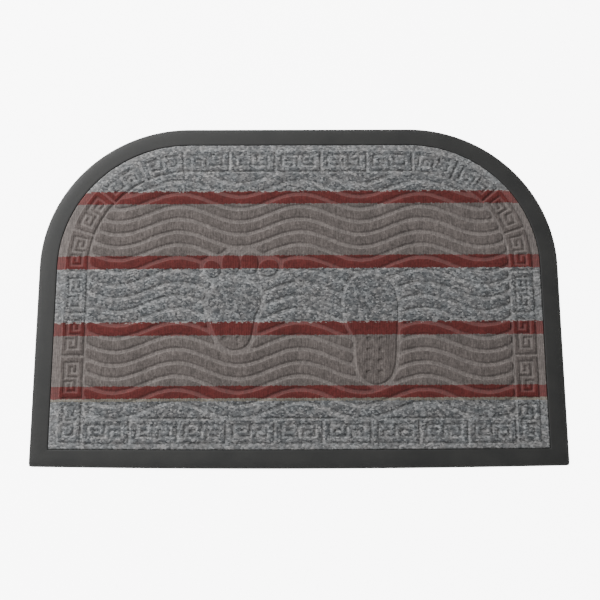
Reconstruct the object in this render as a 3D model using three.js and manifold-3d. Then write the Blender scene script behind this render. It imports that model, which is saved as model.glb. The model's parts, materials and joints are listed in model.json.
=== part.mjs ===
// A doormat for indoors or a porch: a moulded rubber base with a raised border, and a ribbed carpet of
// plastic yarn pressed into it. Millimetres. The mat lies flat on z = 0, X runs along its long side and Y
// towards the side whose two corners are rounded. The origin is the middle of its footprint.
import * as THREE from "three";
import { mergeVertices } from "three/addons/utils/BufferGeometryUtils.js";
import Module from "manifold-3d";

// Overall size. The front edge bows outwards, most in its middle, and DEPTH is measured there.
const WIDTH = 600;
const DEPTH = 403;
const FRONT_BOW = 3;
const CORNER_RADIUS = 170;
const BACK_Y = DEPTH / 2;
const CORNER_X = WIDTH / 2 - CORNER_RADIUS;
const CORNER_Y = BACK_Y - CORNER_RADIUS;
const FRONT_CORNER_Y = FRONT_BOW - DEPTH / 2;

// The border is a little narrower along the front, and its inner edge bows less than its outer one.
const BORDER_WIDTH = 20.5;
const FRONT_BORDER_WIDTH = 19;
const INNER_BOW_SHARE = 0.4;
const CORNER_STEPS = 20;
const FRONT_STEPS = 8;

// Heights above the surface that the mat lies on.
const TRAY_FLOOR_Z = 1.4;
const BORDER_Z = 3.2;
const PIECE_GAP = 0.3;
const PRESSED_Z = 3.9;
const RAISED_Z = 5.4;
const RAISED_ROOT_Z = 2.6;
const DIMPLE_FLOOR_Z = 4.1;
const CUT_CLEARANCE = 1;

// The base's section, from its underside outwards, up its rounded edge and in over the border.
const BASE_SECTION = [
  { inset: 0.7, z: 0 },
  { inset: 0, z: 0.7 },
  { inset: 0.2, z: 1.7 },
  { inset: 1.4, z: 2.5 },
  { inset: 6, z: 3 },
  { inset: BORDER_WIDTH - 0.8, z: BORDER_Z },
  { inset: BORDER_WIDTH, z: BORDER_Z - 0.6 },
  { inset: BORDER_WIDTH, z: TRAY_FLOOR_Z },
];

// The pressed carpet's section, from its underside up its rounded rim to its flat margin.
const CARPET_SECTION = [
  { inset: BORDER_WIDTH + PIECE_GAP, z: TRAY_FLOOR_Z + PIECE_GAP },
  { inset: BORDER_WIDTH + PIECE_GAP, z: PRESSED_Z - 0.8 },
  { inset: BORDER_WIDTH + 0.9, z: PRESSED_Z - 0.2 },
  { inset: BORDER_WIDTH + 2.1, z: PRESSED_Z },
];

// Raised waves from side to side, with pressed grooves between them.
const WAVE_PITCH = 15.47;
const WAVE_LENGTH = 140.4;
const WAVE_HEIGHT = 9.4;
const WAVE_PHASE_X = 0.9;
const GROOVE_COUNT = 19;
const FIRST_GROOVE_Y = 140.9;
const GROOVE_WIDTH = 4.8;
const WAVE_STEP = WAVE_LENGTH / 8;

// A strip of raised blocks runs round the waves, each with a pressed key of two square spirals. Its
// middle line is a rounded path like the border's. A pressed ledge lies between it and the waves.
const KEY_SIDE_X = 256.8;
const KEY_RADIUS = 127;
const KEY_CORNER_X = KEY_SIDE_X - KEY_RADIUS;
const KEY_CORNER_Y = 33.5;
const KEY_BACK_Y = KEY_CORNER_Y + KEY_RADIUS;
const KEY_FRONT_Y = -160;
const KEY_DEPTH = 24.4;
const KEY_GAP = 3.6;
const KEY_END_FRAME = 5;
const KEY_STEP_ACROSS = 3.2;
const KEY_SIDE_START_Y = -172.7;
const KEY_SIDE_PITCH = 49.3;
const KEY_LONG_PITCH = 54;
const KEYS_UP_EACH_SIDE = 5;
const KEYS_ROUND_EACH_CORNER = 3;
const KEYS_ALONG_BACK = 5;
const KEYS_ALONG_FRONT = 9;
const KEY_BEND_STEP = 13;
const LEDGE_WIDTH = 3.1;

// One key, as the corners of its pressed line on a grid of KEY_COLUMNS by KEY_ROWS: two square spirals
// on one line.
const KEY_COLUMNS = 13;
const KEY_ROWS = 5;
const KEY_LINE = [
  { column: 0, row: 0 },
  { column: 5, row: 0 },
  { column: 5, row: 3 },
  { column: 2, row: 3 },
  { column: 2, row: 2 },
  { column: 4, row: 2 },
  { column: 4, row: 1 },
  { column: 1, row: 1 },
  { column: 1, row: 4 },
  { column: 6, row: 4 },
  { column: 6, row: 0 },
  { column: 13, row: 0 },
  { column: 13, row: 5 },
  { column: 8, row: 5 },
  { column: 8, row: 2 },
  { column: 11, row: 2 },
  { column: 11, row: 3 },
  { column: 9, row: 3 },
  { column: 9, row: 4 },
  { column: 12, row: 4 },
  { column: 12, row: 1 },
  { column: 7, row: 1 },
  { column: 7, row: 5 },
  { column: 0, row: 5 },
];

// Two prints interrupt the waves: a bare foot and a shoe, each of raised pads with a pressed line round
// them and small dimples in the heel. A turned toe has its angle in degrees.
const TOE_LINE = 5.6;
const FOOT_LINE = 5.4;
const SHOE_LINE = 4.2;
const PAD_STEPS = 18;
const PAD_STEPS_BETWEEN_POINTS = 2;
const FOOT_TOES = [
  { x: -99.8, y: 28, halfWidth: 9.2, halfLength: 10.4, turn: 35 },
  { x: -78.2, y: 35, halfWidth: 10.4, halfLength: 13, turn: 0 },
  { x: -56.9, y: 35, halfWidth: 10.2, halfLength: 13.2, turn: 0 },
  { x: -35, y: 29.4, halfWidth: 12, halfLength: 9.4, turn: 20 },
];
const FOOT_SOLE = [
  { x: -74, y: 13 },
  { x: -96, y: 8 },
  { x: -104, y: -10 },
  { x: -101.5, y: -30 },
  { x: -95.3, y: -49 },
  { x: -87, y: -62 },
  { x: -73, y: -67 },
  { x: -60.3, y: -62 },
  { x: -54, y: -49 },
  { x: -50.8, y: -30 },
  { x: -44, y: -11 },
  { x: -51, y: 7 },
];
const SHOE_SOLE = [
  { x: 82.5, y: 21 },
  { x: 64, y: 16.5 },
  { x: 54.3, y: 2.2 },
  { x: 52, y: -17 },
  { x: 56, y: -38 },
  { x: 64.2, y: -55.5 },
  { x: 64.6, y: -77.3 },
  { x: 69.5, y: -97.5 },
  { x: 85.6, y: -107 },
  { x: 103, y: -98.5 },
  { x: 109.3, y: -77.4 },
  { x: 111, y: -54.3 },
  { x: 112.2, y: -31 },
  { x: 112.4, y: -9.8 },
  { x: 104, y: 12.5 },
];
const DIMPLES = [
  { x: -83.8, y: -54.5 },
  { x: -68.5, y: -54.5 },
  { x: 80.4, y: -55 },
  { x: 94.2, y: -55 },
  { x: 80, y: -68 },
  { x: 94, y: -68 },
  { x: 78.5, y: -81 },
  { x: 92.6, y: -81 },
  { x: 79, y: -94 },
  { x: 93.2, y: -94 },
];
const DIMPLE_HALF_WIDTH = 3.5;
const DIMPLE_HALF_LENGTH = 2.7;

const wasm = await Module();
wasm.setup();

// Turns a closed geometry into a solid that can be cut and joined.
function solidOf(geometry) {
  const bare = new THREE.BufferGeometry();
  bare.setAttribute("position", geometry.getAttribute("position"));
  if (geometry.index) bare.setIndex(geometry.index);
  const merged = mergeVertices(bare, 1e-4);
  return new wasm.Manifold(
    new wasm.Mesh({
      numProp: 3,
      vertProperties: merged.attributes.position.array,
      triVerts: new Uint32Array(merged.index.array),
    }),
  );
}

function geometryOf(solid) {
  const mesh = solid.getMesh();
  const geometry = new THREE.BufferGeometry();
  geometry.setAttribute("position", new THREE.BufferAttribute(mesh.vertProperties, 3));
  geometry.setIndex(new THREE.BufferAttribute(mesh.triVerts, 1));
  geometry.computeVertexNormals();
  return geometry;
}

// An upright prism on a closed loop of points, with other loops as holes through it.
function prism(loop, bottom, top, holes = []) {
  const turned = (points, clockwise) =>
    THREE.ShapeUtils.isClockWise(points) === clockwise ? points : points.toReversed();
  const shape = new THREE.Shape(turned(loop, false));
  shape.holes = holes.map((hole) => new THREE.Path(turned(hole, true)));
  const geometry = new THREE.ExtrudeGeometry(shape, { depth: top - bottom, bevelEnabled: false });
  geometry.translate(0, 0, bottom);
  return solidOf(geometry);
}

function joined(solids) {
  return solids.reduce((whole, solid) => whole.add(solid));
}

// The mat's outline, moved in by an inset: the bowed front, a straight side, and a rounded corner at each
// end of the back. Every inset gives the same number of points, so that outlines can be joined in rings.
function outline(inset) {
  const points = [];
  const side = WIDTH / 2 - inset;
  const share = inset / BORDER_WIDTH;
  const frontInset = share * FRONT_BORDER_WIDTH;
  const bow = FRONT_BOW * (1 - share * (1 - INNER_BOW_SHARE));
  for (let i = 0; i <= FRONT_STEPS; i++) {
    const along = (2 * i) / FRONT_STEPS - 1;
    points.push(new THREE.Vector2(along * side, FRONT_CORNER_Y + frontInset - bow * (1 - along ** 2)));
  }
  for (const [sign, from] of [[1, 0], [-1, Math.PI / 2]]) {
    for (let i = 0; i <= CORNER_STEPS; i++) {
      const angle = from + (i / CORNER_STEPS) * (Math.PI / 2);
      points.push(
        new THREE.Vector2(
          sign * CORNER_X + (CORNER_RADIUS - inset) * Math.cos(angle),
          CORNER_Y + (CORNER_RADIUS - inset) * Math.sin(angle),
        ),
      );
    }
  }
  return points;
}

// A closed body whose walls join a ring of points at each step of a section, with a flat cap on the first
// and on the last ring.
function ringed(section) {
  const rings = section.map(({ inset }) => outline(inset));
  const count = rings[0].length;
  const positions = [];
  rings.forEach((ring, k) => ring.forEach((p) => positions.push(p.x, p.y, section[k].z)));
  const faces = [];
  for (let k = 0; k + 1 < rings.length; k++) {
    for (let i = 0; i < count; i++) {
      const a = k * count + i;
      const b = k * count + ((i + 1) % count);
      faces.push(a, b, b + count, a, b + count, a + count);
    }
  }
  const last = (rings.length - 1) * count;
  for (const [a, b, c] of THREE.ShapeUtils.triangulateShape(rings[0], [])) faces.push(a, c, b);
  for (const [a, b, c] of THREE.ShapeUtils.triangulateShape(rings.at(-1), [])) {
    faces.push(last + a, last + b, last + c);
  }
  const geometry = new THREE.BufferGeometry();
  geometry.setAttribute("position", new THREE.Float32BufferAttribute(positions, 3));
  geometry.setIndex(faces);
  return solidOf(geometry);
}

// The key strip's middle line, by the distance along it from the front left, up the side, round the
// corner and along the back. Half of the strip is laid out, and the other half mirrors it.
const KEY_SIDE_LENGTH = KEY_CORNER_Y - KEY_SIDE_START_Y;
const KEY_CORNER_LENGTH = (KEY_RADIUS * Math.PI) / 2;
const KEY_HALF_LENGTH = KEY_SIDE_LENGTH + KEY_CORNER_LENGTH + KEY_CORNER_X;
const KEY_BACK_START = KEY_HALF_LENGTH - (KEYS_ALONG_BACK * KEY_LONG_PITCH) / 2;
const KEY_BEND_START = KEYS_UP_EACH_SIDE * KEY_SIDE_PITCH;
const KEY_CORNER_PITCH = (KEY_BACK_START - KEY_BEND_START) / KEYS_ROUND_EACH_CORNER;

function onSideStrip(along, outwards) {
  if (along <= KEY_SIDE_LENGTH) {
    return new THREE.Vector2(-KEY_SIDE_X - outwards, KEY_SIDE_START_Y + along);
  }
  const angle = Math.PI - (along - KEY_SIDE_LENGTH) / KEY_RADIUS;
  if (angle >= Math.PI / 2) {
    const radius = KEY_RADIUS + outwards;
    const x = -KEY_CORNER_X + radius * Math.cos(angle);
    return new THREE.Vector2(x, KEY_CORNER_Y + radius * Math.sin(angle));
  }
  const past = along - KEY_SIDE_LENGTH - KEY_CORNER_LENGTH;
  return new THREE.Vector2(past - KEY_CORNER_X, KEY_BACK_Y + outwards);
}

function mirrored(place) {
  return (along, outwards) => {
    const point = place(along, outwards);
    return new THREE.Vector2(-point.x, point.y);
  };
}

// The front strip runs from left to right, with its outer side to the front.
function onFrontStrip(along, outwards) {
  return new THREE.Vector2(along, KEY_FRONT_Y - outwards);
}

// A loop of corners laid on the strip. Long edges round the corner are split, so that they bend.
function laidLoop(corners, place) {
  const points = [];
  corners.forEach((corner, i) => {
    const next = corners[(i + 1) % corners.length];
    const ends = [corner.along, next.along];
    const bent =
      place !== onFrontStrip && Math.max(...ends) > KEY_SIDE_LENGTH && Math.min(...ends) < KEY_BACK_START;
    const length = next.along - corner.along;
    const steps = bent ? Math.max(1, Math.round(Math.abs(length) / KEY_BEND_STEP)) : 1;
    for (let k = 0; k < steps; k++) {
      const outwards = corner.outwards + ((next.outwards - corner.outwards) * k) / steps;
      points.push(place(corner.along + (length * k) / steps, outwards));
    }
  });
  return points;
}

// One raised block with its pressed key. A turned key has its spirals' inner and outer sides swapped.
function keyBlock(place, start, pitch, turned) {
  const low = start + KEY_GAP / 2;
  const high = start + pitch - KEY_GAP / 2;
  const block = [
    { along: low, outwards: -KEY_DEPTH / 2 },
    { along: high, outwards: -KEY_DEPTH / 2 },
    { along: high, outwards: KEY_DEPTH / 2 },
    { along: low, outwards: KEY_DEPTH / 2 },
  ];
  const step = (high - low - 2 * KEY_END_FRAME) / KEY_COLUMNS;
  const side = turned ? -1 : 1;
  const line = KEY_LINE.map(({ column, row }) => ({
    along: low + KEY_END_FRAME + column * step,
    outwards: side * (row - KEY_ROWS / 2) * KEY_STEP_ACROSS,
  }));
  return prism(laidLoop(block, place), RAISED_ROOT_Z, RAISED_Z, [laidLoop(line, place)]);
}

function keyBlocks() {
  const blocks = [];
  for (const place of [onSideStrip, mirrored(onSideStrip)]) {
    for (let i = 0; i < KEYS_UP_EACH_SIDE; i++) {
      blocks.push(keyBlock(place, i * KEY_SIDE_PITCH, KEY_SIDE_PITCH, true));
    }
    for (let i = 0; i < KEYS_ROUND_EACH_CORNER; i++) {
      blocks.push(keyBlock(place, KEY_BEND_START + i * KEY_CORNER_PITCH, KEY_CORNER_PITCH, true));
    }
  }
  for (let i = 0; i < KEYS_ALONG_BACK; i++) {
    blocks.push(keyBlock(onSideStrip, KEY_BACK_START + i * KEY_LONG_PITCH, KEY_LONG_PITCH, false));
  }
  for (let i = 0; i < KEYS_ALONG_FRONT; i++) {
    const start = (i - KEYS_ALONG_FRONT / 2) * KEY_LONG_PITCH;
    blocks.push(keyBlock(onFrontStrip, start, KEY_LONG_PITCH, false));
  }
  return joined(blocks);
}

// The part of the carpet inside the ledge, where the waves run.
function waveField() {
  const inset = KEY_DEPTH / 2 + LEDGE_WIDTH;
  const side = KEY_SIDE_X - inset;
  const front = KEY_FRONT_Y + inset;
  const radius = KEY_RADIUS - inset;
  const loop = [new THREE.Vector2(-side, front), new THREE.Vector2(side, front)];
  for (const [sign, from] of [[1, 0], [-1, Math.PI / 2]]) {
    for (let i = 0; i <= CORNER_STEPS; i++) {
      const angle = from + (i / CORNER_STEPS) * (Math.PI / 2);
      const x = sign * KEY_CORNER_X + radius * Math.cos(angle);
      loop.push(new THREE.Vector2(x, KEY_CORNER_Y + radius * Math.sin(angle)));
    }
  }
  return prism(loop, RAISED_ROOT_Z, RAISED_Z);
}

// One groove: a ribbon of even width along the wave, pressed straight down.
function groove(middleY) {
  const reach = Math.ceil(KEY_SIDE_X / WAVE_STEP) * WAVE_STEP;
  const back = [];
  const front = [];
  for (let x = -reach; x <= reach; x += WAVE_STEP) {
    const y = middleY + WAVE_HEIGHT * Math.cos((2 * Math.PI * x) / WAVE_LENGTH);
    back.unshift(new THREE.Vector2(x + WAVE_PHASE_X, y + GROOVE_WIDTH / 2));
    front.push(new THREE.Vector2(x + WAVE_PHASE_X, y - GROOVE_WIDTH / 2));
  }
  return prism([...front, ...back], CUT_CLEARANCE, RAISED_Z + CUT_CLEARANCE);
}

function grooves() {
  const cuts = [];
  for (let i = 0; i < GROOVE_COUNT; i++) cuts.push(groove(FIRST_GROOVE_Y - i * WAVE_PITCH));
  return joined(cuts);
}

function ellipse({ x, y, halfWidth, halfLength, turn = 0 }, grow = 0) {
  const angle = THREE.MathUtils.degToRad(turn);
  const full = 2 * Math.PI;
  const curve = new THREE.EllipseCurve(x, y, halfWidth + grow, halfLength + grow, 0, full, false, angle);
  return curve.getPoints(PAD_STEPS).slice(0, PAD_STEPS);
}

// A smooth closed loop through a few points, moved outwards by a distance.
function smoothLoop(corners, grow = 0) {
  const curve = new THREE.CatmullRomCurve3(
    corners.map(({ x, y }) => new THREE.Vector3(x, y, 0)),
    true,
    "centripetal",
  );
  const steps = corners.length * PAD_STEPS_BETWEEN_POINTS;
  const points = [];
  for (let i = 0; i < steps; i++) {
    const point = curve.getPoint(i / steps);
    const along = curve.getTangent(i / steps);
    points.push(new THREE.Vector2(point.x + along.y * grow, point.y - along.x * grow));
  }
  return points;
}

// The raised waves and pads: the field less its grooves and the pressed line round every pad.
function raisedField() {
  const above = RAISED_Z + CUT_CLEARANCE;
  const grown = [
    ...FOOT_TOES.map((toe) => ellipse(toe, TOE_LINE)),
    smoothLoop(FOOT_SOLE, FOOT_LINE),
    smoothLoop(SHOE_SOLE, SHOE_LINE),
  ];
  const pads = [
    ...FOOT_TOES.map((toe) => ellipse(toe)),
    smoothLoop(FOOT_SOLE),
    smoothLoop(SHOE_SOLE),
  ];
  const area = joined(grown.map((loop) => prism(loop, CUT_CLEARANCE, above)));
  const raised = joined(pads.map((loop) => prism(loop, 0, above + CUT_CLEARANCE)));
  const dimples = DIMPLES.map(({ x, y }) => {
    const loop = ellipse({ x, y, halfWidth: DIMPLE_HALF_WIDTH, halfLength: DIMPLE_HALF_LENGTH });
    return prism(loop, DIMPLE_FLOOR_Z, above);
  });
  const pressed = grooves().add(area).subtract(raised);
  return waveField().subtract(pressed.add(joined(dimples)));
}

function makeBase() {
  return ringed(BASE_SECTION);
}

function makeCarpet() {
  return ringed(CARPET_SECTION).add(keyBlocks()).add(raisedField());
}

const rubber = new THREE.MeshStandardMaterial({ color: 0x3c3e3f, roughness: 0.75, metalness: 0 });
const yarn = new THREE.MeshStandardMaterial({ color: 0x6f6a67, roughness: 0.95, metalness: 0 });

function meshOf(name, solid, material) {
  const mesh = new THREE.Mesh(geometryOf(solid), material);
  mesh.name = name;
  return mesh;
}

const mat = new THREE.Group();
mat.add(meshOf("rubber_base", makeBase(), rubber));
mat.add(meshOf("carpet", makeCarpet(), yarn));

export default mat;
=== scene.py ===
# The looks of a doormat: a moulded rubber base, and a pressed carpet of ribbed plastic yarn in three
# colours. Metres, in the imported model's frame: the mat lies flat on z = 0, X runs along its long side
# and Y towards the side whose corners are rounded.
import json
import math

import bpy
import numpy as np
from mathutils import Matrix, Vector
from mathutils.geometry import delaunay_2d_cdt

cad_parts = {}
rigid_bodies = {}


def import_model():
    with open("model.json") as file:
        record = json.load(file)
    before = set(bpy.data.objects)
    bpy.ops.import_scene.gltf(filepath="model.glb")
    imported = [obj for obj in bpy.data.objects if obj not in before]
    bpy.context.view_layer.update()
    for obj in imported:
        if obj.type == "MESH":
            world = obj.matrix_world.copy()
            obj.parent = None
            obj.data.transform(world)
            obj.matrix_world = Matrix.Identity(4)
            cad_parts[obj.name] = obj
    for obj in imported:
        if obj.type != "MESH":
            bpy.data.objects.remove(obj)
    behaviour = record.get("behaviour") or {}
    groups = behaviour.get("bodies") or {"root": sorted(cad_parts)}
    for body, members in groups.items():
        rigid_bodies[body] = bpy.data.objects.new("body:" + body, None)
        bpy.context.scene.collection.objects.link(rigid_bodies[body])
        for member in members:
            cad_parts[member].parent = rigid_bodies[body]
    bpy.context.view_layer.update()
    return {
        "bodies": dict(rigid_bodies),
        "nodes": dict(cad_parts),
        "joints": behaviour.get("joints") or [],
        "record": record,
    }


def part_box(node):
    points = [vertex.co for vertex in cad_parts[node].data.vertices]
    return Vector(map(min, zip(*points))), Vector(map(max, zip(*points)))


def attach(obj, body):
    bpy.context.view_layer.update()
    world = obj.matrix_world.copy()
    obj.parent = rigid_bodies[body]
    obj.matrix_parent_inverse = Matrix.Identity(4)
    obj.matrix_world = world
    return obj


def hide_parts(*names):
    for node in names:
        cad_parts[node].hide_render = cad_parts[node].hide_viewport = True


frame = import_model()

BASE_LOW, BASE_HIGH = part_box("rubber_base")
CARPET_LOW, CARPET_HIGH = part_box("carpet")

# The mat's outline: a bowed front, straight sides, and a rounded corner at each end of the back.
HALF_WIDTH = BASE_HIGH[0]
BACK_Y = BASE_HIGH[1]
FRONT_BOW = 0.003
FRONT_CORNER_Y = BASE_LOW[1] + FRONT_BOW
CORNER_RADIUS = 0.170
CORNER_X = HALF_WIDTH - CORNER_RADIUS
CORNER_Y = BACK_Y - CORNER_RADIUS
BORDER_WIDTH = HALF_WIDTH - CARPET_HIGH[0] - 0.0003
FRONT_BORDER_WIDTH = 0.019
INNER_BOW_SHARE = 0.4
CORNER_BLUNTING = 0.0007
CARPET_INSET = HALF_WIDTH - CARPET_HIGH[0]

# Heights. The yarn is pressed flat, all but the waves, the blocks round the keys and the prints' pads.
CARPET_UNDER_Z = CARPET_LOW[2]
TRAY_FLOOR_Z = CARPET_UNDER_Z - 0.0003
RAISED_Z = CARPET_HIGH[2]
PRESSED_Z = 0.0039
RIM_Z = 0.0022
PRESSED_DEPTH = RAISED_Z - PRESSED_Z
WALL_HALF_WIDTH = 0.0005
TIP_ROUNDING = 0.0038
SHOULDER_SHARE = 0.20
SHOULDER_REACH = 0.0017
FLOOR_GAP = 0.0003

# Raised waves, with pressed grooves between them.
WAVE_PITCH = 0.01547
WAVE_LENGTH = 0.1404
WAVE_HEIGHT = 0.0094
WAVE_PHASE_X = 0.0009
GROOVE_COUNT = 19
FIRST_GROOVE_Y = 0.1409
GROOVE_HALF_WIDTH = 0.0024

# The strip of square spirals: its middle line, and the sizes of one key.
KEY_SIDE_X = 0.2568
KEY_RADIUS = 0.127
KEY_CORNER_X = KEY_SIDE_X - KEY_RADIUS
KEY_CORNER_Y = 0.0335
KEY_FRONT_Y = -0.160
KEY_DEPTH = 0.0244
KEY_GAP = 0.0036
KEY_END_FRAME = 0.005
KEY_STEP_ACROSS = 0.0032
KEY_SIDE_START_Y = -0.1727
KEY_SIDE_PITCH = 0.0493
KEY_LONG_PITCH = 0.054
KEYS_UP_EACH_SIDE = 5
KEYS_ROUND_EACH_CORNER = 3
KEYS_ALONG_BACK = 5
KEYS_ALONG_FRONT = 9
LEDGE_WIDTH = 0.0031
FIELD_INSET = KEY_DEPTH / 2 + LEDGE_WIDTH
FIELD_RADIUS = KEY_RADIUS - FIELD_INSET
FIELD_FRONT_Y = KEY_FRONT_Y + FIELD_INSET
FIELD_SIDE_X = KEY_SIDE_X - FIELD_INSET

# One key's pressed line. The top row is its outer side on the strips along the back and the front.
KEY_CHART = (
    "#######.#####",
    "#.....#.#...#",
    "#.###.#.###.#",
    "#...#.#.....#",
    "#####.#######",
)

# The two prints, a bare foot and a shoe: raised pads with a pressed line round them, and dimples in the
# heels. A turned toe has its angle in degrees.
TOE_LINE = 0.0056
FOOT_LINE = 0.0054
SHOE_LINE = 0.0042
FOOT_TOES = (
    {"x": -0.0998, "y": 0.028, "half_width": 0.0092, "half_length": 0.0104, "turn": 35},
    {"x": -0.0782, "y": 0.035, "half_width": 0.0104, "half_length": 0.013, "turn": 0},
    {"x": -0.0569, "y": 0.035, "half_width": 0.0102, "half_length": 0.0132, "turn": 0},
    {"x": -0.035, "y": 0.0294, "half_width": 0.012, "half_length": 0.0094, "turn": 20},
)
FOOT_SOLE = (
    (-0.074, 0.013), (-0.096, 0.008), (-0.104, -0.010), (-0.1015, -0.030), (-0.0953, -0.049),
    (-0.087, -0.062), (-0.073, -0.067), (-0.0603, -0.062), (-0.054, -0.049), (-0.0508, -0.030),
    (-0.044, -0.011), (-0.051, 0.007),
)
SHOE_SOLE = (
    (0.0825, 0.021), (0.064, 0.0165), (0.0543, 0.0022), (0.052, -0.017), (0.056, -0.038),
    (0.0642, -0.0555), (0.0646, -0.0773), (0.0695, -0.0975), (0.0856, -0.107), (0.103, -0.0985),
    (0.1093, -0.0774), (0.111, -0.0543), (0.1122, -0.031), (0.1124, -0.0098), (0.104, 0.0125),
)
DIMPLES = (
    (-0.0838, -0.0545), (-0.0685, -0.0545), (0.0804, -0.055), (0.0942, -0.055), (0.080, -0.068),
    (0.094, -0.068), (0.0785, -0.081), (0.0926, -0.081), (0.079, -0.094), (0.0932, -0.094),
)
DIMPLE_HALF_WIDTH = 0.0035
DIMPLE_HALF_LENGTH = 0.0027
DIMPLE_DEPTH = 0.0013

# The yarn's colour changes in straight stripes across the mat: each one's front edge and its yarn. They
# lie a little askew, and pale loops show along some of their edges.
STRIPE_SLOPE = 0.0025
STRIPES = (
    {"from_y": -0.190, "yarn": "melange"},
    {"from_y": -0.1262, "yarn": "sand"},
    {"from_y": -0.1234, "yarn": "red"},
    {"from_y": -0.1091, "yarn": "taupe"},
    {"from_y": -0.0512, "yarn": "red"},
    {"from_y": -0.0352, "yarn": "melange"},
    {"from_y": 0.0276, "yarn": "red"},
    {"from_y": 0.0431, "yarn": "taupe"},
    {"from_y": 0.1064, "yarn": "red"},
    {"from_y": 0.1226, "yarn": "melange"},
)
FLECKED_EDGES = (-0.0352, 0.0276, 0.1226)
FLECK_REACH = 0.0010
YARN_COLOURS = {
    "melange": (0.165, 0.166, 0.168),
    "sand": (0.185, 0.167, 0.136),
    "red": (0.118, 0.0225, 0.0205),
    "taupe": (0.136, 0.116, 0.108),
}
RIB_STRENGTH = {"melange": 0.0, "sand": 1.0, "red": 0.55, "taupe": 1.0}

# The spacing of the meshes' points, and how far the evenly spaced ones keep from lines with their own.
BASE_SPACING = 0.004
COLUMN_SPACING = 0.0024
LOOP_SPACING = 0.0019
CLEAR_OF_FIELD_EDGE = 0.0022
CLEAR_INSIDE_PAD = 0.0042
CLEAR_OUTSIDE_LINE = 0.0016
CLEAR_OF_DIMPLE = 0.0046
POINTS_ACROSS_CELL = (0.16, 0.50, 0.84)
POINTS_IN_END_FRAME = (0.07, 0.22, 0.48, 0.74, 0.91)
POINTS_BESIDE_LINE = (0.08, 0.30, 0.60, 0.86)
POINTS_IN_GAP = (0.25, 0.75)
POINTS_ACROSS_GROOVE = (-0.0070, -0.0051, -0.0037, -0.0029, -0.0020, -0.0009, 0.0009, 0.0020, 0.0029,
                        0.0037, 0.0051, 0.0070)
POINTS_ACROSS_PAD_EDGE = (-0.0034, -0.0020, -0.0011, -0.0004, 0.0004, 0.0013, 0.0026)
POINTS_ACROSS_LINE_EDGE = (-0.0012, -0.0005, 0.0004, 0.0012)
RING_TOLERANCE = 0.0003
NOISE_CELLS = 512


def place_camera():
    """The photo was taken from in front and high up, through a long lens."""
    elevation, distance, roll = math.radians(75.80), 1.2998, math.radians(-0.15)
    aim = Vector((0.00148, -0.00819, 0))
    back = Vector((0, -math.cos(elevation), math.sin(elevation)))
    right, up = Vector((1, 0, 0)), Vector((0, math.sin(elevation), math.cos(elevation)))
    rolled_right = math.cos(roll) * right + math.sin(roll) * up
    rolled_up = math.cos(roll) * up - math.sin(roll) * right
    data = bpy.data.cameras.new("camera")
    data.lens = 67.8
    data.sensor_width = 36
    camera = bpy.data.objects.new("camera", data)
    turn = Matrix((rolled_right, rolled_up, back)).transposed().to_4x4()
    camera.matrix_world = Matrix.Translation(aim + distance * back) @ turn
    bpy.context.collection.objects.link(camera)
    bpy.context.scene.camera = camera


def smooth(low, high, value):
    """0 below low, 1 above high, and an even S between them."""
    share = np.clip((value - low) / (high - low), 0, 1)
    return share * share * (3 - 2 * share)


def noise(x, y, size, seed):
    """Smooth bumps between -1 and 1, each about size wide."""
    lattice = np.random.default_rng(seed).uniform(-1, 1, (NOISE_CELLS, NOISE_CELLS))
    u, v = x / size + NOISE_CELLS / 2, y / size + NOISE_CELLS / 2
    i, j = np.floor(u).astype(int), np.floor(v).astype(int)
    fu, fv = smooth(0, 1, u - i), smooth(0, 1, v - j)

    def at(k, m):
        return lattice[(i + k) % NOISE_CELLS, (j + m) % NOISE_CELLS]

    near = at(0, 0) * (1 - fu) + at(1, 0) * fu
    far = at(0, 1) * (1 - fu) + at(1, 1) * fu
    return near * (1 - fv) + far * fv


def d_loop(side, front_y, bow, radius, corner_x, corner_y, spacing):
    """A closed D-shaped loop, counter-clockwise from its front left corner. Loops with one spacing have
    the same number of points."""
    counts = [round(length / spacing) for length in (2 * HALF_WIDTH, CORNER_Y - FRONT_CORNER_Y,
                                                     CORNER_RADIUS * math.pi / 2, 2 * CORNER_X)]
    front, up, arc, back = (np.arange(count) / count for count in counts)
    quarter = arc * math.pi / 2
    parts = [
        ((2 * front - 1) * side, front_y - bow * (1 - (2 * front - 1) ** 2)),
        (np.full(counts[1], side), front_y + up * (corner_y - front_y)),
        (corner_x + radius * np.cos(quarter), corner_y + radius * np.sin(quarter)),
        (corner_x * (1 - 2 * back), np.full(counts[3], corner_y + radius)),
        (-corner_x - radius * np.sin(quarter), corner_y + radius * np.cos(quarter)),
        (np.full(counts[1], -side), corner_y - up * (corner_y - front_y)),
    ]
    return np.concatenate([np.column_stack(part) for part in parts])


def outline(inset, spacing):
    """The mat's outline, moved in by an inset."""
    share = inset / BORDER_WIDTH
    bow = FRONT_BOW * (1 - share * (1 - INNER_BOW_SHARE))
    front_y = FRONT_CORNER_Y + share * FRONT_BORDER_WIDTH
    return d_loop(HALF_WIDTH - inset, front_y, bow, CORNER_RADIUS - inset, CORNER_X, CORNER_Y, spacing)


def strip_edge(outwards, spacing):
    """A loop along the strip of keys, at a distance outside its middle line."""
    return d_loop(KEY_SIDE_X + outwards, KEY_FRONT_Y - outwards, 0, KEY_RADIUS + outwards,
                  KEY_CORNER_X, KEY_CORNER_Y, spacing)


def mesh_object(name, points, faces):
    mesh = bpy.data.meshes.new(name)
    mesh.from_pydata(np.asarray(points).tolist(), [], faces)
    mesh.validate()
    mesh.shade_smooth()
    obj = bpy.data.objects.new(name, mesh)
    bpy.context.collection.objects.link(obj)
    return obj


def lofted_faces(first, second, count):
    """A closed band of faces between two rings of points, given by their first point's number."""
    nexts = [(i + 1) % count for i in range(count)]
    return [(first + i, first + nexts[i], second + nexts[i], second + i) for i in range(count)]


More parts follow.
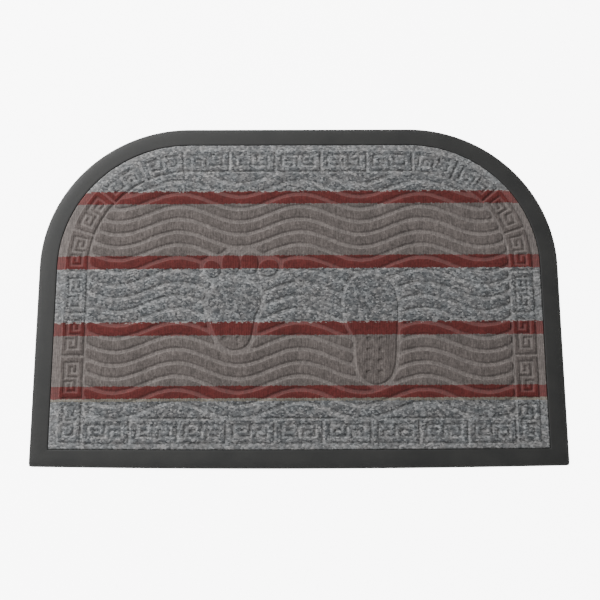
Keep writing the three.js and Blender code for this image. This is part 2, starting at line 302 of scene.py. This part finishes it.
# The rubber base.
def make_base():
    """A moulded sheet with a soft outer edge, a slightly crowned border and a tray for the carpet."""
    section = (
        (0.0009, 0), (0.0004, 0.0001), (0.0001, 0.0004), (0, 0.0009), (0.0001, 0.0015), (0.0005, 0.0020),
        (0.0012, 0.0024), (0.0025, 0.0027), (0.0050, 0.0030), (0.0090, 0.0032), (0.0130, 0.0032),
        (0.0170, 0.0031), (0.0192, 0.0031), (0.0200, 0.0030), (0.0204, 0.0027), (0.0205, 0.0020),
        (0.0205, TRAY_FLOOR_Z),
    )
    rings = [outline(inset, BASE_SPACING) for inset, z in section]
    count = len(rings[0])
    right_corner = round(2 * HALF_WIDTH / BASE_SPACING)
    for ring, (inset, z) in zip(rings, section):
        blunt = max(CORNER_BLUNTING - inset / 10, 0)
        ring[0] += (blunt, blunt)
        ring[right_corner] += (-blunt, blunt)
    points = np.concatenate([np.column_stack((ring, np.full(count, z)))
                             for ring, (inset, z) in zip(rings, section)])
    faces = [tuple(reversed(range(count)))]
    for k in range(len(rings) - 1):
        faces += lofted_faces(k * count, (k + 1) * count, count)
    faces.append(tuple(range((len(rings) - 1) * count, len(rings) * count)))
    return mesh_object("rubber_border", points, faces)


# The carpet's relief. Heights are worked out as a share of the pressed depth: 0 on top, 1 where pressed.
def strip_place(along, outwards):
    """A point of the left half of the strip, by the distance from its front end and outwards."""
    up = KEY_CORNER_Y - KEY_SIDE_START_Y
    angle = np.clip((along - up) / KEY_RADIUS, 0, math.pi / 2)
    past = np.maximum(along - up - KEY_RADIUS * math.pi / 2, 0)
    radius = KEY_RADIUS + outwards
    x = -KEY_CORNER_X - radius * np.cos(angle) + past
    y = KEY_CORNER_Y + radius * np.sin(angle) + np.minimum(along - up, 0)
    return x, y


def front_place(along, outwards):
    return along, KEY_FRONT_Y - outwards


def spread(grid, share):
    """A grid of depths, with a share of each passed on to the next ones."""
    padded = np.pad(grid, 1, mode="edge")
    rows = share * padded[:-2] + (1 - 2 * share) * padded[1:-1] + share * padded[2:]
    return share * rows[:, :-2] + (1 - 2 * share) * rows[:, 1:-1] + share * rows[:, 2:]


def key_relief(pitch, turned):
    """One key's points along and across the strip, and how deep each is pressed."""
    rows = KEY_CHART if turned else KEY_CHART[::-1]
    chart = np.array([[cell == "#" for cell in row] for row in rows], float)
    row_count, column_count = chart.shape
    steps = len(POINTS_ACROSS_CELL)
    beside = len(POINTS_BESIDE_LINE)
    frame, gap = len(POINTS_IN_END_FRAME), len(POINTS_IN_GAP)
    pressed = np.pad(np.kron(chart, np.ones((steps, steps))), ((beside, beside), (frame, frame)))
    pressed = np.pad(pressed, ((0, 0), (gap, gap)), constant_values=1)

    low = KEY_GAP / 2 + KEY_END_FRAME
    step = (pitch - 2 * low) / column_count
    ends = [KEY_GAP / 2 * share for share in POINTS_IN_GAP]
    ends += [KEY_GAP / 2 + KEY_END_FRAME * share for share in POINTS_IN_END_FRAME]
    cells = [column + share for column in range(column_count) for share in POINTS_ACROSS_CELL]
    inner = [low + cell * step for cell in cells]
    along = np.array(ends + inner + [pitch - end for end in reversed(ends)])

    reach = row_count * KEY_STEP_ACROSS / 2
    side = [-KEY_DEPTH / 2 + (KEY_DEPTH / 2 - reach) * share for share in POINTS_BESIDE_LINE]
    cells = [row + share for row in range(row_count) for share in POINTS_ACROSS_CELL]
    inner = [cell * KEY_STEP_ACROSS - reach for cell in cells]
    across = np.array(side + inner + [-place for place in reversed(side)])
    return along, across, 0.82 * spread(pressed, 0.06) + 0.18 * spread(spread(pressed, 0.3), 0.3)


def key_points(place, start, pitch, turned, sign=1):
    """One key with half of the pressed gap at each of its ends."""
    along, across, pressed = key_relief(pitch, turned)
    a, o = np.meshgrid(start + along, across)
    x, y = place(a, o)
    return np.column_stack((sign * x.ravel(), y.ravel(), pressed.ravel()))


def strip_points():
    half_length = KEY_CORNER_Y - KEY_SIDE_START_Y + KEY_RADIUS * math.pi / 2 + KEY_CORNER_X
    back_start = half_length - KEYS_ALONG_BACK * KEY_LONG_PITCH / 2
    bend_start = KEYS_UP_EACH_SIDE * KEY_SIDE_PITCH
    corner_pitch = (back_start - bend_start) / KEYS_ROUND_EACH_CORNER
    sets = []
    for sign in (1, -1):
        for i in range(KEYS_UP_EACH_SIDE):
            sets.append(key_points(strip_place, i * KEY_SIDE_PITCH, KEY_SIDE_PITCH, True, sign))
        for i in range(KEYS_ROUND_EACH_CORNER):
            sets.append(key_points(strip_place, bend_start + i * corner_pitch, corner_pitch, True, sign))
    for i in range(KEYS_ALONG_BACK):
        sets.append(key_points(strip_place, back_start + i * KEY_LONG_PITCH, KEY_LONG_PITCH, False))
    for i in range(KEYS_ALONG_FRONT):
        start = (i - KEYS_ALONG_FRONT / 2) * KEY_LONG_PITCH
        sets.append(key_points(front_place, start, KEY_LONG_PITCH, False))
    return np.concatenate(sets)


def margin_points():
    """The pressed margin outside the keys. The first loop is the carpet's edge."""
    shares = np.array([0, 0.05, 0.12, 0.22, 0.36, 0.52, 0.68, 0.83, 0.95])
    drops = np.array([0.0008, 0.0004, 0.0002, 0.00005, 0, 0, 0, 0, 0])
    edge, inner = outline(CARPET_INSET, LOOP_SPACING), strip_edge(KEY_DEPTH / 2, LOOP_SPACING)
    loops = [np.column_stack((edge + share * (inner - edge), np.full(len(edge), 1 + drop / PRESSED_DEPTH)))
             for share, drop in zip(shares, drops)]
    return np.concatenate(loops), len(edge)


def ledge_points():
    """Loops on the pressed ledge between the keys and the waves, and two short rows that close off the
    keys at the front corners."""
    loops = [strip_edge(-KEY_DEPTH / 2 - LEDGE_WIDTH * share, LOOP_SPACING) for share in (0.12, 0.48, 0.84)]
    rows = np.arange(KEY_FRONT_Y - KEY_DEPTH / 2, KEY_FRONT_Y + KEY_DEPTH / 2, 0.0012)
    ends = [np.column_stack((np.full(len(rows), sign * (KEY_SIDE_X - KEY_DEPTH / 2 - 0.0004)), rows))
            for sign in (1, -1)]
    points = np.concatenate(loops + ends)
    return np.column_stack((points, np.ones(len(points))))


def field_depth(x, y):
    """How far a point lies inside the field of waves."""
    corner = np.hypot(np.maximum(np.abs(x) - KEY_CORNER_X, 0), np.maximum(y - KEY_CORNER_Y, 0))
    return np.minimum(FIELD_RADIUS - corner, y - FIELD_FRONT_Y)


def wave_y(x):
    return WAVE_HEIGHT * np.cos(2 * math.pi * (x - WAVE_PHASE_X) / WAVE_LENGTH)


def groove_distance(x, y):
    """How far a point lies outside the nearest groove, negative in it."""
    slope = WAVE_HEIGHT * 2 * math.pi / WAVE_LENGTH * np.sin(2 * math.pi * (x - WAVE_PHASE_X) / WAVE_LENGTH)
    rank = np.clip(np.round((FIRST_GROOVE_Y - y + wave_y(x)) / WAVE_PITCH), 0, GROOVE_COUNT - 1)
    middle = FIRST_GROOVE_Y - rank * WAVE_PITCH + wave_y(x)
    return np.abs(y - middle) / np.hypot(1, slope) - GROOVE_HALF_WIDTH


def smooth_loop(corners, spacing):
    """A smooth closed curve through a few points, as evenly spaced points."""
    knots = np.array(corners)
    before, after, beyond = np.roll(knots, 1, 0), np.roll(knots, -1, 0), np.roll(knots, -2, 0)
    t = np.linspace(0, 1, 24, endpoint=False)[:, None, None]
    curve = 0.5 * (2 * knots + (after - before) * t + (2 * before - 5 * knots + 4 * after - beyond) * t ** 2
                   + (3 * knots - before - 3 * after + beyond) * t ** 3)
    return evenly(curve.transpose(1, 0, 2).reshape(-1, 2), spacing)


def evenly(loop, spacing):
    closed = np.vstack((loop, loop[:1]))
    lengths = np.concatenate(([0], np.cumsum(np.hypot(*np.diff(closed, axis=0).T))))
    at = np.linspace(0, lengths[-1], round(lengths[-1] / spacing), endpoint=False)
    return np.column_stack((np.interp(at, lengths, closed[:, 0]), np.interp(at, lengths, closed[:, 1])))


def toe_loop(toe, spacing):
    around, turn = np.linspace(0, 2 * math.pi, 90, endpoint=False), math.radians(toe["turn"])
    along, across = toe["half_width"] * np.cos(around), toe["half_length"] * np.sin(around)
    return evenly(np.column_stack((toe["x"] + along * math.cos(turn) - across * math.sin(turn),
                                   toe["y"] + along * math.sin(turn) + across * math.cos(turn))), spacing)


PADS = ([(toe_loop(toe, LOOP_SPACING), TOE_LINE) for toe in FOOT_TOES]
        + [(smooth_loop(FOOT_SOLE, LOOP_SPACING), FOOT_LINE),
           (smooth_loop(SHOE_SOLE, LOOP_SPACING), SHOE_LINE)])


def loop_distance(x, y, loop):
    """Signed distance of points to a closed loop, negative inside it."""
    ax, ay = loop[:, 0], loop[:, 1]
    bx, by = np.roll(ax, -1), np.roll(ay, -1)
    px, py = x[:, None], y[:, None]
    ex, ey = bx - ax, by - ay
    t = np.clip(((px - ax) * ex + (py - ay) * ey) / (ex ** 2 + ey ** 2), 0, 1)
    nearest = np.hypot(px - ax - t * ex, py - ay - t * ey).min(axis=1)
    crosses = ((ay > py) != (by > py)) & (px < ax + (py - ay) * ex / np.where(ey == 0, 1, ey))
    return np.where(crosses.sum(axis=1) % 2 == 1, -nearest, nearest)


def print_distances(x, y):
    """Signed distances to the nearest pad's edge and to the nearest pad's pressed line's outer edge, large
    far from the prints."""
    pad, line = np.full(x.shape, 1.0), np.full(x.shape, 1.0)
    for loop, line_width in PADS:
        low, high = loop.min(axis=0) - 0.010, loop.max(axis=0) + 0.010
        close = (x > low[0]) & (x < high[0]) & (y > low[1]) & (y < high[1])
        distance = loop_distance(x[close], y[close], loop)
        pad[close] = np.minimum(pad[close], distance)
        line[close] = np.minimum(line[close], distance - line_width)
    return pad, line


def dimple_depth(x, y):
    """How deep the dimples in the two heels are pressed at a point."""
    depth = np.zeros(x.shape)
    for cx, cy in DIMPLES:
        off = np.hypot((x - cx) / DIMPLE_HALF_WIDTH, (y - cy) / DIMPLE_HALF_LENGTH)
        depth = np.maximum(depth, 1 - smooth(0.6, 1.2, off))
    return depth * DIMPLE_DEPTH / PRESSED_DEPTH


def rounded_least(first, second, reach):
    """The lesser of two distances, less still where both are small: it rounds the tips between them."""
    share = np.maximum(reach - np.abs(first - second), 0) / reach
    return np.minimum(first, second) - share ** 2 * reach / 4


def field_relief(x, y):
    """How deep the field is pressed: raised waves outside the prints and raised pads in them, each with
    rounded shoulders, and the dimples."""
    pad, line = print_distances(x, y)
    wave = rounded_least(groove_distance(x, y), np.minimum(field_depth(x, y), line), TIP_ROUNDING)
    inside = np.maximum(-pad, wave)
    pressed = 1 - smooth(-WALL_HALF_WIDTH, WALL_HALF_WIDTH, inside)
    shoulder = SHOULDER_SHARE * np.exp(-np.maximum(inside, 0) / SHOULDER_REACH)
    return np.maximum.reduce((pressed, shoulder, dimple_depth(x, y) * (pad < 0)))


def wave_points():
    """Columns of points that follow the waves, but for a zone round every pad's edges and the dimples."""
    columns = np.arange(-FIELD_SIDE_X, FIELD_SIDE_X, COLUMN_SPACING) + COLUMN_SPACING / 2
    rows = [FIRST_GROOVE_Y - k * WAVE_PITCH + off for k in range(-1, GROOVE_COUNT + 1)
            for off in POINTS_ACROSS_GROOVE]
    x, v = (grid.ravel() for grid in np.meshgrid(columns, rows))
    y = v + wave_y(x)
    pad, line = print_distances(x, y)
    keep = (pad < -CLEAR_INSIDE_PAD) | (line > CLEAR_OUTSIDE_LINE)
    keep &= field_depth(x, y) > CLEAR_OF_FIELD_EDGE
    for cx, cy in DIMPLES:
        keep &= np.hypot(x - cx, y - cy) > CLEAR_OF_DIMPLE
    rim = [strip_edge(-FIELD_INSET - off, LOOP_SPACING) for off in (-0.0001, 0.0006, 0.0014)]
    return np.concatenate([np.column_stack((x[keep], y[keep]))] + rim)


def pad_points():
    """Rings of points along each pad's edge and its pressed line's outer edge, and round the dimples."""
    sets = []
    for loop, line_width in PADS:
        along = np.roll(loop, -1, 0) - np.roll(loop, 1, 0)
        normal = np.column_stack((along[:, 1], -along[:, 0])) / np.hypot(*along.T)[:, None]
        for off in POINTS_ACROSS_PAD_EDGE:
            ring = loop + off * normal
            sets.append(ring[np.abs(print_distances(*ring.T)[0] - off) < RING_TOLERANCE])
        for off in POINTS_ACROSS_LINE_EDGE:
            ring = loop + (line_width + off) * normal
            sets.append(ring[np.abs(print_distances(*ring.T)[1] - off) < RING_TOLERANCE])
    turn = np.linspace(0, 2 * math.pi, 12, endpoint=False)
    for cx, cy in DIMPLES:
        for share in (0.3, 0.65, 0.95, 1.25, 1.6):
            sets.append(np.column_stack((cx + share * DIMPLE_HALF_WIDTH * np.cos(turn),
                                         cy + share * DIMPLE_HALF_LENGTH * np.sin(turn))))
    return np.concatenate(sets)


def roughened(points, rim_count):
    """Pulls the points a little out of line, as needled yarn is, but leaves the carpet's edge."""
    x, y = points[:, 0], points[:, 1]
    free = np.ones(len(points))
    free[:rim_count] = 0
    moved = points.copy()
    moved[:, 0] += free * (0.00030 * noise(x, y, 0.0052, 1) + 0.00012 * noise(x, y, 0.0023, 2))
    moved[:, 1] += free * (0.00034 * noise(x, y, 0.0048, 3) + 0.00014 * noise(x, y, 0.0021, 4))
    return moved


def stripe_share(y, yarn):
    """1 where a point lies in a stripe of the yarn."""
    share = np.zeros(y.shape)
    for stripe, after in zip(STRIPES, STRIPES[1:] + ({"from_y": 1.0},)):
        if stripe["yarn"] == yarn:
            share[(y >= stripe["from_y"]) & (y < after["from_y"])] = 1
    return share


def make_carpet():
    """One closed sheet. Its top is a triangulation of rows of points that follow the pressed forms."""
    margin, rim_count = margin_points()
    field = np.concatenate((wave_points(), pad_points()))
    field = np.column_stack((field, field_relief(field[:, 0], field[:, 1])))
    points = roughened(np.concatenate((margin, strip_points(), ledge_points(), field)), rim_count)
    x, y, pressed = points.T
    loops = stripe_share(y, "melange")
    lumps = 0.00013 * noise(x, y, 0.009, 5) + (0.00008 + 0.00016 * loops) * noise(x, y, 0.0026, 6)
    z = RAISED_Z - PRESSED_DEPTH * pressed + lumps * (1 - 0.4 * pressed)
    z[:rim_count] = RIM_Z
    flat = [Vector((px, py)) for px, py in zip(x, y)]
    _, _, faces, numbers, _, _ = delaunay_2d_cdt(flat, [], [list(range(rim_count))], 1, 1e-7, True)
    kept = [numbers_of[0] for numbers_of in numbers]
    top = np.column_stack((x, y, z))[kept]
    rim = {old[0]: new for new, old in enumerate(numbers) if old[0] < rim_count}
    count = len(top)
    under = np.column_stack((margin[:rim_count, :2], np.full(rim_count, CARPET_UNDER_Z)))
    nexts = [(i + 1) % rim_count for i in range(rim_count)]
    sides = [(rim[i], count + i, count + nexts[i], rim[nexts[i]]) for i in range(rim_count)]
    floor = [tuple(count + i for i in reversed(range(rim_count)))]
    carpet = mesh_object("pressed_carpet", np.concatenate((top, under)), list(faces) + sides + floor)
    # The pressed attribute sets the painted sheen on pressed yarn and the painted shade on raised yarn. The
    # dimples are too small for their yarn to be pressed flat, so they get little painted sheen.
    share = carpet.data.attributes.new("pressed", "FLOAT", "POINT")
    painted_sheen_share = np.minimum(pressed, 1) * (1 - 0.7 * (dimple_depth(x, y) > 0.05))
    share.data.foreach_set("value", np.concatenate((painted_sheen_share[kept], np.ones(rim_count))))
    return carpet


# Materials.
class Nodes:
    """A short way to build a node tree."""

    def __init__(self, name):
        self.material = bpy.data.materials.new(name)
        self.material.use_nodes = True
        self.tree = self.material.node_tree
        self.shader = self.tree.nodes["Principled BSDF"]

    def add(self, kind, values=None, **settings):
        node = self.tree.nodes.new(kind)
        for key, value in settings.items():
            setattr(node, key, value)
        for key, value in (values or {}).items():
            if isinstance(value, bpy.types.NodeSocket):
                self.tree.links.new(value, node.inputs[key])
            else:
                node.inputs[key].default_value = value
        return node

    def math(self, operation, a, b=0.0, c=0.0):
        return self.add("ShaderNodeMath", {0: a, 1: b, 2: c}, operation=operation).outputs[0]

    def mix(self, factor, a, b, blend="MIX"):
        node = self.add("ShaderNodeMix", {0: factor, 6: a, 7: b}, data_type="RGBA", blend_type=blend)
        return node.outputs[2]

    def noise(self, where, scale, detail=2.0, rough=0.5):
        values = {"Vector": where, "Scale": scale, "Detail": detail, "Roughness": rough}
        return self.add("ShaderNodeTexNoise", values).outputs[0]

    def scaled(self, where, scale):
        return self.add("ShaderNodeMapping", {"Vector": where, "Scale": scale}).outputs[0]

    def ramp(self, factor, stops, interpolation="LINEAR"):
        node = self.add("ShaderNodeValToRGB", {0: factor})
        node.color_ramp.interpolation = interpolation
        elements = node.color_ramp.elements
        while len(elements) < len(stops):
            elements.new(1.0)
        for element, (position, colour) in zip(elements, stops):
            element.position = position
            element.color = (*colour, 1) if len(colour) == 3 else colour
        return node.outputs[0]


def grey(value):
    return (value, value, value, 1)


def yarn_material():
    nodes = Nodes("plastic_yarn")
    where = nodes.add("ShaderNodeTexCoord").outputs["Object"]
    split = nodes.add("ShaderNodeSeparateXYZ", {0: where})
    pressed = nodes.add("ShaderNodeAttribute", attribute_name="pressed").outputs["Fac"]

    # Stripes, with edges that step in and out from loop to loop.
    ragged = nodes.noise(nodes.scaled(where, (1, 0.4, 1)), 480, 1)
    level = nodes.math("MULTIPLY_ADD", split.outputs[0], -STRIPE_SLOPE, split.outputs[1])
    y = nodes.math("MULTIPLY_ADD", nodes.math("SUBTRACT", ragged, 0.5), 0.0030, level)
    span = 2 * BACK_Y
    along = nodes.math("DIVIDE", nodes.math("ADD", y, BACK_Y), span)
    places = [(stripe["from_y"] + BACK_Y) / span for stripe in STRIPES]
    colours = [YARN_COLOURS[stripe["yarn"]] for stripe in STRIPES]
    loops = [grey(1 if stripe["yarn"] == "melange" else 0) for stripe in STRIPES]
    base = nodes.ramp(along, list(zip(places, colours)), "CONSTANT")
    is_melange = nodes.ramp(along, list(zip(places, loops)), "CONSTANT")

    # Plain yarns: fine ribs across the stripes, and batches of yarn a little lighter or darker.
    ribs = nodes.noise(nodes.scaled(where, (1, 0.20, 1)), 640, 3, 0.7)
    batch = nodes.noise(nodes.scaled(where, (1, 0.35, 1)), 60, 2)
    fibre = nodes.noise(where, 1100, 2, 0.6)
    streak = nodes.ramp(ribs, [(0.28, grey(0.62)), (0.5, grey(0.98)), (0.74, grey(1.48))])
    strengths = [grey(RIB_STRENGTH[stripe["yarn"]]) for stripe in STRIPES]
    plain = nodes.mix(nodes.ramp(along, list(zip(places, strengths)), "CONSTANT"), base, streak, "MULTIPLY")
    plain = nodes.mix(1.0, plain, nodes.ramp(batch, [(0.3, grey(0.90)), (0.7, grey(1.10))]), "MULTIPLY")

    # Melange: loops of white, light grey, blue-grey and dark yarn.
    wide = nodes.scaled(where, (0.74, 1, 1))
    cells = nodes.add("ShaderNodeTexVoronoi", {"Vector": wide, "Scale": 540.0, "Randomness": 1.0})
    tone = nodes.add("ShaderNodeSeparateColor", {0: cells.outputs["Color"]})
    speckle = nodes.ramp(tone.outputs[1], [(0.0, grey(0.82)), (1.0, grey(1.18))])
    plain = nodes.mix(1.0, plain, speckle, "MULTIPLY")
    small = nodes.noise(wide, 760, 2, 0.65)
    mixed = nodes.math("MULTIPLY_ADD", tone.outputs[0], 0.62, nodes.math("MULTIPLY", small, 0.5))
    loop_colour = nodes.ramp(mixed, [
        (0.14, (0.040, 0.042, 0.044)),
        (0.34, (0.086, 0.089, 0.092)),
        (0.58, (0.147, 0.149, 0.151)),
        (0.77, (0.224, 0.225, 0.226)),
        (0.96, (0.420, 0.418, 0.415)),
    ])
    tint = nodes.ramp(nodes.noise(where, 95, 2), [(0.35, (0.97, 1.0, 1.02)), (0.65, (1.02, 1.0, 0.99))])
    loop_colour = nodes.mix(1.0, loop_colour, tint, "MULTIPLY")

    colour = nodes.mix(is_melange, plain, loop_colour)

    # Pale loops of the next yarn that show along the edges of the melange.
    fleck_noise = nodes.noise(nodes.scaled(where, (0.45, 1, 1)), 420, 1)
    for edge in FLECKED_EDGES:
        off = nodes.math("ABSOLUTE", nodes.math("SUBTRACT", y, edge))
        near = nodes.math("LESS_THAN", off, FLECK_REACH)
        fleck = nodes.math("MULTIPLY", near, nodes.math("GREATER_THAN", fleck_noise, 0.56))
        colour = nodes.mix(nodes.math("MULTIPLY", fleck, 0.7), colour, (0.34, 0.33, 0.31, 1))
    fuzz = nodes.ramp(fibre, [(0.25, grey(0.80)), (0.75, grey(1.20))])
    colour = nodes.mix(1.0, colour, fuzz, "MULTIPLY")

    # Painted light: pressed yarn is flat and gets a painted sheen, paler and a little greyer, and raised
    # yarn gets painted shade between its loops, a little darker.
    colour = nodes.mix(nodes.math("MULTIPLY", pressed, 0.11), colour, (0.29, 0.28, 0.27, 1))
    painted_sheen_and_shade = nodes.ramp(pressed, [(0.0, grey(0.90)), (0.3, grey(0.95)), (0.9, grey(1.20))])
    colour = nodes.mix(1.0, colour, painted_sheen_and_shade, "MULTIPLY")
    nodes.tree.links.new(colour, nodes.shader.inputs["Base Color"])

    # Relief that is finer than the mesh.
    rib_values = {"Vector": where, "Scale": 160.0, "Distortion": 1.5, "Detail": 1.0, "Detail Scale": 2.0}
    rib_wave = nodes.add("ShaderNodeTexWave", rib_values, bands_direction="X").outputs[1]
    lumps = nodes.math("SUBTRACT", 1.0, nodes.math("MULTIPLY", cells.outputs["Distance"], 1.2))
    height = nodes.mix(is_melange, rib_wave, lumps)
    height = nodes.math("ADD", nodes.math("MULTIPLY", height, 0.5), nodes.math("MULTIPLY", fibre, 0.8))
    bump = nodes.add("ShaderNodeBump", {"Height": height, "Distance": 0.0006, "Strength": 0.7})
    nodes.tree.links.new(bump.outputs[0], nodes.shader.inputs["Normal"])
    rough = nodes.math("MULTIPLY_ADD", fibre, 0.2, 0.68)
    nodes.tree.links.new(rough, nodes.shader.inputs["Roughness"])
    nodes.shader.inputs["Specular IOR Level"].default_value = 0.18
    nodes.shader.inputs["Sheen Weight"].default_value = 0.05
    nodes.shader.inputs["Sheen Roughness"].default_value = 0.6
    return nodes.material


def rubber_material():
    nodes = Nodes("grained_rubber")
    where = nodes.add("ShaderNodeTexCoord").outputs["Object"]
    grain = nodes.noise(where, 1500, 3, 0.6)
    patches = nodes.noise(where, 35, 3)
    colour = nodes.ramp(patches, [(0.3, (0.025, 0.0255, 0.025)), (0.7, (0.034, 0.034, 0.0325))])
    colour = nodes.mix(1.0, colour, nodes.ramp(grain, [(0.3, grey(0.86)), (0.7, grey(1.14))]), "MULTIPLY")
    nodes.tree.links.new(colour, nodes.shader.inputs["Base Color"])
    bump = nodes.add("ShaderNodeBump", {"Height": grain, "Distance": 0.00025, "Strength": 0.6})
    nodes.tree.links.new(bump.outputs[0], nodes.shader.inputs["Normal"])
    rough = nodes.math("MULTIPLY_ADD", patches, 0.15, 0.52)
    nodes.tree.links.new(rough, nodes.shader.inputs["Roughness"])
    nodes.shader.inputs["Specular IOR Level"].default_value = 0.4
    return nodes.material


def floor_material():
    nodes = Nodes("pale_floor")
    where = nodes.add("ShaderNodeTexCoord").outputs["Object"]
    tone = nodes.ramp(nodes.noise(where, 3, 2), [(0.3, grey(0.90)), (0.7, grey(0.92))])
    nodes.tree.links.new(tone, nodes.shader.inputs["Base Color"])
    nodes.shader.inputs["Roughness"].default_value = 0.9
    nodes.shader.inputs["Specular IOR Level"].default_value = 0.1
    nodes.shader.inputs["Emission Color"].default_value = (1, 1, 1, 1)
    nodes.shader.inputs["Emission Strength"].default_value = 7.5
    return nodes.material


# The studio.
def area_light(name, place, aim, size, power):
    data = bpy.data.lights.new(name, "AREA")
    data.shape = "DISK"
    data.size = size
    data.energy = power
    light = bpy.data.objects.new(name, data)
    light.location = place
    light.rotation_euler = (Vector(aim) - Vector(place)).to_track_quat("-Z", "Y").to_euler()
    bpy.context.collection.objects.link(light)


def make_studio():
    reach = 14.0
    corners = [(x * reach, y * reach, -FLOOR_GAP) for x, y in ((-1, -1), (1, -1), (1, 1), (-1, 1))]
    floor = mesh_object("floor", corners, [(0, 1, 2, 3)])
    floor.data.materials.append(floor_material())
    area_light("key_light", (-1.15, 1.20, 1.25), (0, 0, 0), 0.4, 50)
    area_light("fill_light", (-0.75, -0.60, 0.60), (-0.1, -0.1, 0), 0.4, 1.5)
    world = bpy.data.worlds.new("soft_room")
    world.use_nodes = True
    world.node_tree.nodes["Background"].inputs[0].default_value = (1.0, 1.0, 1.0, 1)
    world.node_tree.nodes["Background"].inputs[1].default_value = 0.35
    bpy.context.scene.world = world


place_camera()
base = make_base()
base.data.materials.append(rubber_material())
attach(base, "root")
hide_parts("rubber_base")

carpet = make_carpet()
carpet.data.materials.append(yarn_material())
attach(carpet, "root")
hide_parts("carpet")

make_studio()
